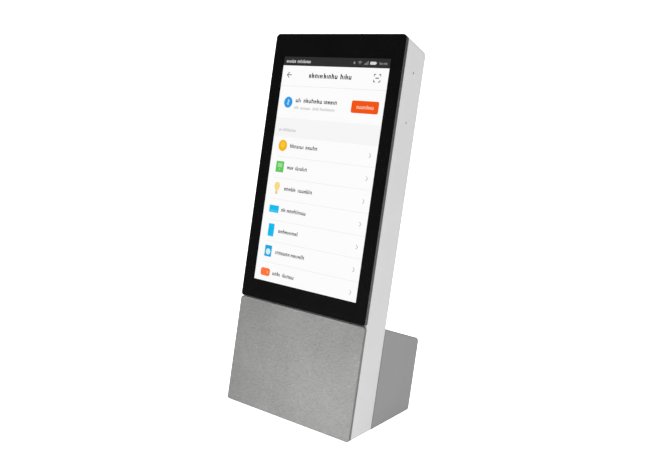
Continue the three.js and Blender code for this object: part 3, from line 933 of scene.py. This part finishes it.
def make_picture():
    """The lit page, its shapes in millimetres, as a thin closed sheet behind the window."""
    rng = random.Random(7)
    margin = 0.08
    half = SCREEN_HALF / MM - margin
    low = SCREEN_LOW / MM + margin
    high = SCREEN_HIGH / MM - margin
    p = Picture()
    p.add([(half, low), (half, high), (-half, high), (-half, low)], PAGE)
    draw_status_bar(p, high, half, rng)
    draw_header(p, half, rng)
    draw_pairing_row(p, rng)
    draw_section(p, half, rng)
    draw_rows(p, half, rng)

    points, edges = [], []
    for outline, _ in p.shapes:
        start, count = len(points), len(outline)
        points += [Vector(q) for q in outline]
        edges += [(start + i, start + (i + 1) % count) for i in range(count)]
    flat, _, faces, *_ = delaunay_2d_cdt(points, edges, [], 0, 0.002)

    reach = []
    for outline, _ in p.shapes:
        xs, zs = zip(*outline)
        reach.append((min(xs), max(xs), min(zs), max(zs)))
    bm = bmesh.new()
    y = WINDOW_DEPTH + PICTURE_GAP
    corners = [bm.verts.new((q.x * MM, y, q.y * MM)) for q in flat]
    for face in faces:
        middle = sum((flat[i] for i in face), Vector((0, 0))) / len(face)
        top = None
        for (outline, colour), (x0, x1, z0, z1) in zip(p.shapes, reach):
            if x0 < middle.x < x1 and z0 < middle.y < z1 and inside(middle, outline):
                top = colour
        if top is not None:
            bm.faces.new([corners[i] for i in face]).material_index = top
    bmesh.ops.delete(bm, geom=[v for v in bm.verts if not v.link_faces], context="VERTS")
    rim = [e for e in bm.edges if e.is_boundary]
    grown = bmesh.ops.extrude_edge_only(bm, edges=rim)["geom"]
    rear = [g for g in grown if isinstance(g, bmesh.types.BMVert)]
    bmesh.ops.translate(bm, vec=(0, PICTURE_THICK, 0), verts=rear)
    bmesh.ops.holes_fill(bm, edges=[e for e in bm.edges if e.is_boundary], sides=0)
    colours = [lit(f"lit_{k:02d}", *colour) for k, colour in enumerate(p.colours)]
    hub_piece(publish(bm, "screen_picture", LEANING, *colours), "display_panel")


# ---- housing ------------------------------------------------------------------------------
MIC_RADIUS = 0.8 * MM  # of the pinholes in front of the microphones
CAP_DEPTH = 0.8 * MM  # a key's cap stands at least this far behind its flange


def make_housing():
    """A sealed white shell: eased rims, softened rear edges, and holes for what passes it."""
    rim = slab_low.y
    edge, wall, soft = 0.25 * MM, 2 * MM, 1.5 * MM
    sections = [
        (rim + edge - along, slab_outline(rim, inset)) for along, inset in arc_steps(edge, 3)
    ]
    sections.reverse()
    for along, inset in arc_steps(soft, 8):
        y = SLAB_BACK - soft + along
        sections.append((y, slab_outline(y, inset, side=0.4 * inset)))
    shell = publish(loft(sections), "housing", LEANING, white_plastic())

    room = [(y, slab_outline(y, wall)) for y in (0, SLAB_BACK - wall)]
    cutters = [publish(loft(room), "cutter", LEANING)]
    for node in ("microphone_lower", "microphone_upper"):
        low, high = lean_box(node)
        middle = (low + high) / 2
        cutters.append(side_hole(middle.y, middle.z, MIC_RADIUS, HALF - 4 * MM, HALF + MM))
    cutters.append(key_hole("power_button"))
    cutters.append(key_hole("volume_rocker"))
    pad_low, pad_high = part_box("front_foot_pad")
    groove = box_between(
        (pad_low.x - GAP, pad_low.y - GAP, UNDERSIDE - MM),
        (pad_high.x + GAP, pad_high.y + GAP, pad_high.z + GAP),
    )
    cutters.append(publish(groove, "cutter", Matrix.Identity(4)))
    hub_piece(smooth(carve(shell, cutters)), "white_shell", "slab_housing")


def cap_outline(node, grow):
    """The outline of a key's cap, grown all round: what stands behind its flange."""
    back = LEANING.inverted()
    points = [back @ v.co for v in nodes[node].data.vertices]
    outer = max(p.y for p in points)
    cap = [p for p in points if p.y > outer - CAP_DEPTH]
    x0, x1 = min(p.x for p in cap) - grow, max(p.x for p in cap) + grow
    z0, z1 = min(p.z for p in cap) - grow, max(p.z for p in cap) + grow
    return rounded_rectangle(x0, x1, z0, z1, (x1 - x0) / 2, 12)


def key_hole(node):
    return cutter(cap_outline(node, GAP), SLAB_BACK - 3 * MM, SLAB_BACK + MM)


def white_plastic():
    return moulded("white_plastic", (0.755, 0.755, 0.755), 0.46, 0.02)


def grey_plastic():
    return moulded("grey_plastic", (0.33, 0.33, 0.33), 0.5, 0.03)


# ---- rear block ---------------------------------------------------------------------------
def make_block():
    """A grey shell with rounded rear corners and a mouth for the power socket."""
    slope = math.tan(math.radians(10.8))
    start, back = block_low.y, block_high.y
    half = block_high.x
    edge = 1.2 * MM  # rounding along the side faces
    rear_high, rear_low, near = 3 * MM, 1.8 * MM, 0.2 * MM  # corner radii in the side view

    def top_at(y):
        return block_high.z - (y - start) * slope

    def side_view(inset):
        end = back - inset
        return rounded_polygon(
            [
                (start, table_at(start) + inset, near),
                (start, top_at(start) - inset, near),
                (end, top_at(end) - inset, rear_high - inset),
                (end, table_at(end) + inset, rear_low - inset),
            ]
        )

    ends = [(half - edge + along, side_view(inset)) for along, inset in arc_steps(edge, 5)]
    across = [(-x, outline) for x, outline in reversed(ends)] + ends
    shell = publish(loft_across(across), "rear_block", LEANING, grey_plastic())

    wall = 2.2 * MM
    deep = 30 * MM  # the room reaches below the table, so the shell is open underneath
    room = [
        (y, rounded_rectangle(-half + wall, half - wall, -deep, top_at(y) - wall, MM))
        for y in (start - MM, back - wall)
    ]
    cutters = [publish(loft(room), "cutter", LEANING)]
    low, high = lean_box("power_socket")
    middle = (low + high) / 2
    wide, tall = 4.9 * MM, 2 * MM  # half sizes of the mouth round the socket
    mouth = rounded_rectangle(
        middle.x - wide, middle.x + wide, middle.z - tall, middle.z + tall, 1.95 * MM
    )
    cutters.append(cutter(mouth, back - wall - MM, back + MM))
    hub_piece(smooth(carve(shell, cutters)), "grey_shell", "rear_block_shell")


# ---- speaker cloth ------------------------------------------------------------------------
def make_cloth():
    """One stretched sheet, wrapped over the grille's edges and cut at the housing's rim."""
    thick = 0.6 * MM
    soft = 0.4 * MM
    top = cloth_high.z
    bm = bmesh.new()

    def outline(y, inset):
        return slab_outline(y, inset, high=top, steps=12)

    outer = [ring_of(bm, outline(COVER_DEPTH, 0), COVER_DEPTH)]
    for along, inset in arc_steps(soft, 6):
        y = soft - along
        outer.append(ring_of(bm, outline(y, inset), y))
    skin(bm, outer)
    inner = [ring_of(bm, outline(COVER_DEPTH, thick), COVER_DEPTH)]
    inner.append(ring_of(bm, outline(thick, thick), thick))
    skin(bm, inner)
    skin(bm, [outer[0], inner[0]])
    bm.faces.new(outer[-1])
    bm.faces.new(inner[-1])
    cloth = publish(bm, "speaker_cloth", LEANING, melange_cloth())
    hub_piece(smooth(cloth), "grille_cloth", "grille_cloth")


# ---- keys and pads ------------------------------------------------------------------------
def make_power_button():
    """A round cap with a shallow dish, on the flange that keeps it in.

    The profile is (radius, depth from the cap's outer face), in millimetres.
    """
    low, high = lean_box("power_button")
    x, z = (low.x + high.x) / 2, (low.z + high.z) / 2
    cap, flange, stem, soft, dish = 4.5, 5.6, 1.2, 0.45, 3.9
    profile = [(stem, -4.1), (stem, -3.7), (flange, -3.7), (flange, -2.9)]
    profile += [(cap, -2.9), (cap, -soft)]
    profile += [(cap - inset, along - soft) for along, inset in arc_steps(soft, 5)]
    profile += [(r, -0.35 * (1 - (r / dish) ** 2)) for r in (3.6, 3.2, 2.6, 1.8, 0.9)]
    bm = bmesh.new()
    rings = [ring_of(bm, circle(x, z, r * MM, 64), high.y + y * MM) for r, y in profile]
    skin(bm, rings)
    bm.faces.new(rings[0])
    bm.faces.new(rings[-1])
    button = publish(bm, "power_key_cap", LEANING, key_plastic())
    hub_piece(smooth(button), "keys", "power_button", body="power_key")


def make_volume_rocker():
    """A long cap with a crowned face, and a raised plus and minus at its ends.

    The levels are (half width, half height, depth from the outer face), in millimetres.
    """
    low, high = lean_box("volume_rocker")
    x, z = (low.x + high.x) / 2, (low.z + high.z) / 2

    def pill(half, tall):
        aside, along = half * MM, tall * MM
        return rounded_rectangle(x - aside, x + aside, z - along, z + along, aside, 14)

    levels = [(5.2, 14.2, -3.7), (5.2, 14.2, -2.9), (4, 13, -2.9), (4, 13, -0.6)]
    levels += [(4 - inset, 13 - inset, along - 0.6) for along, inset in arc_steps(0.5, 5)]
    levels += [(2.6, 11.4, -0.06)]
    solid = loft([(high.y + y * MM, pill(half, tall)) for half, tall, y in levels])
    rocker = publish(solid, "volume_key_cap", LEANING, key_plastic())
    plus, minus = z + 9 * MM, z - 9 * MM
    long, short = 1.3 * MM, 0.28 * MM
    added = [
        cutter(circle(x, end, 1.2 * MM), high.y - 4.1 * MM, high.y - 3.6 * MM)
        for end in (minus, plus)
    ]
    added.append(raised_bar(x, plus, long, short, high.y))
    added.append(raised_bar(x, plus, short, long, high.y))
    added.append(raised_bar(x, minus, long, short, high.y))
    carve(rocker, added, "UNION")
    hub_piece(smooth(rocker), "keys", "volume_rocker", body="volume_key")


def raised_bar(x, z, half, tall, top):
    """A bar of half sizes half and tall, whose face is at depth top."""
    outline = rounded_rectangle(x - half, x + half, z - tall, z + tall, 0.15 * MM, 4)
    return cutter(outline, top - 0.5 * MM, top)


def key_plastic():
    return moulded("key_plastic", (0.36, 0.36, 0.36), 0.42, 0.02)


def make_foot_pads():
    """Rubber strips with rounded ends and an eased lower edge."""
    for node in ("front_foot_pad", "rear_foot_pad"):
        low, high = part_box(node)
        ease = 0.25 * MM
        bm = bmesh.new()
        rings = []
        for z, inset in ((high.z, 0), (low.z + ease, 0), (low.z, ease)):
            outline = rounded_rectangle(
                low.x + inset, high.x - inset, low.y + inset, high.y - inset, 2 * MM, 8
            )
            rings.append([bm.verts.new((x, y, z)) for x, y in outline])
        skin(bm, rings)
        bm.faces.new(rings[0])
        bm.faces.new(rings[-1])
        name = node.replace("foot_pad", "rubber_foot")
        pad = publish(bm, name, Matrix.Identity(4), soft_rubber("foot_rubber", 0.016))
        hub_piece(smooth(pad), "rubber", node)


# ---- what stays as CAD --------------------------------------------------------------------
def finish_cad_nodes():
    """Gives each CAD node that still shows, or is sealed inside, its own finish."""
    finishes = {
        "black_plastic": moulded("black_plastic", (0.013, 0.013, 0.014), 0.55, 0.03),
        "display_panel": panel_frame(),
        "rubber": soft_rubber("surround_rubber", 0.014),
        "steel": brushed("steel_sheet", (0.5, 0.51, 0.52), 0.34, "X"),
        "screws": cast_metal("zinc_screw", (0.5, 0.5, 0.5), 0.36),
        "tin_shield": brushed("tin_shield", (0.62, 0.63, 0.64), 0.28, "Z"),
        "circuit_board": circuit_board(),
        "chip": epoxy(),
        "connector": nylon(),
        "battery": foil_pouch(),
        "speaker_cone": pressed_paper(),
        "foam": open_foam(),
        "lens": coated_lens(),
        "flex_circuit": polyimide(),
        "cable": soft_rubber("cable_jacket", 0.009),
        "white_shell": white_plastic(),
        "grey_shell": grey_plastic(),
        "keys": key_plastic(),
        "cover_glass": black_glass(),
        "grille_cloth": melange_cloth(),
    }
    slots = {s["node"]: s["material_slot"] for s in frame["record"]["subparts"]}
    for name, obj in nodes.items():
        obj.data.materials.clear()
        obj.data.materials.append(finishes[slots[name]])


# ---- studio -------------------------------------------------------------------------------
def plain_white(name, strength):
    """Matt white that also glows with a strength."""
    n = Nodes(name)
    n.set(Base_Color=(0.9, 0.9, 0.9, 1), Roughness=0.9, Emission_Strength=strength)
    n.set(Emission_Color=(1, 1, 1, 1))
    return n.material


def flat_disc(name, radius, z, material):
    bm = bmesh.new()
    bmesh.ops.create_circle(bm, cap_ends=True, segments=96, radius=radius)
    return publish(bm, name, Matrix.Translation((0, 0, z)), material)


def hide_from_light(obj):
    """Leaves obj to the camera alone, as a backdrop that neither lights nor shades the hub."""
    obj.visible_diffuse = False
    obj.visible_glossy = False
    obj.visible_transmission = False
    obj.visible_shadow = False


def make_studio():
    """A white sweep that the camera sees, a card under the hub that bounces light, and lamps."""
    backdrop_glow = 1.2  # above 1, so that the ground is pure white
    floor = flat_disc("floor", 3, 0, plain_white("floor_white", backdrop_glow))
    card = flat_disc("bounce_card", 3, -MM, plain_white("card_white", 0.0))
    card.visible_camera = False
    bm = bmesh.new()
    bmesh.ops.create_uvsphere(bm, u_segments=48, v_segments=24, radius=6)
    white = plain_white("backdrop_white", backdrop_glow)
    dome = publish(bm, "backdrop", Matrix.Identity(4), white)
    for part in (floor, dome):
        hide_from_light(part)

    world = bpy.data.worlds.new("studio")
    world.use_nodes = True
    background = world.node_tree.nodes["Background"]
    background.inputs["Color"].default_value = (1, 1, 1, 1)
    background.inputs["Strength"].default_value = 0.8
    world.cycles_visibility.glossy = False
    bpy.context.scene.world = world

    middle = (0, 0, 0.12)
    add_softbox("key", (1.6, -0.9, 1.3), middle, 2.6, 1.2)
    add_softbox("side", (1.0, -1.2, 0.3), middle, 2.8, 0.8)
    foot = (0, -0.035, 0.03)
    add_softbox("low_glow", (0.055, -0.18, 0.01), foot, 0.25, 0.05)
    add_softbox("floor_glow", (0, -0.13, 0.005), foot, 0.022, 0.05)
    view = bpy.context.scene.view_settings
    view.view_transform = "Standard"
    view.look = "None"


def add_softbox(name, place, target, power, size):
    """A square lamp; only the large ones show in glossy faces."""
    data = bpy.data.lights.new(name, "AREA")
    data.shape = "SQUARE"
    data.size = size
    data.energy = power
    lamp = bpy.data.objects.new(name, data)
    lamp.location = place
    lamp.visible_camera = False
    lamp.visible_glossy = size > 0.1
    aim = Vector(target) - Vector(place)
    lamp.rotation_mode = "QUATERNION"
    lamp.rotation_quaternion = aim.to_track_quat("-Z", "Y")
    bpy.context.scene.collection.objects.link(lamp)


make_camera()
make_studio()
finish_cad_nodes()
make_cover_glass()
make_picture()
make_housing()
make_block()
make_cloth()
make_power_button()
make_volume_rocker()
make_foot_pads()
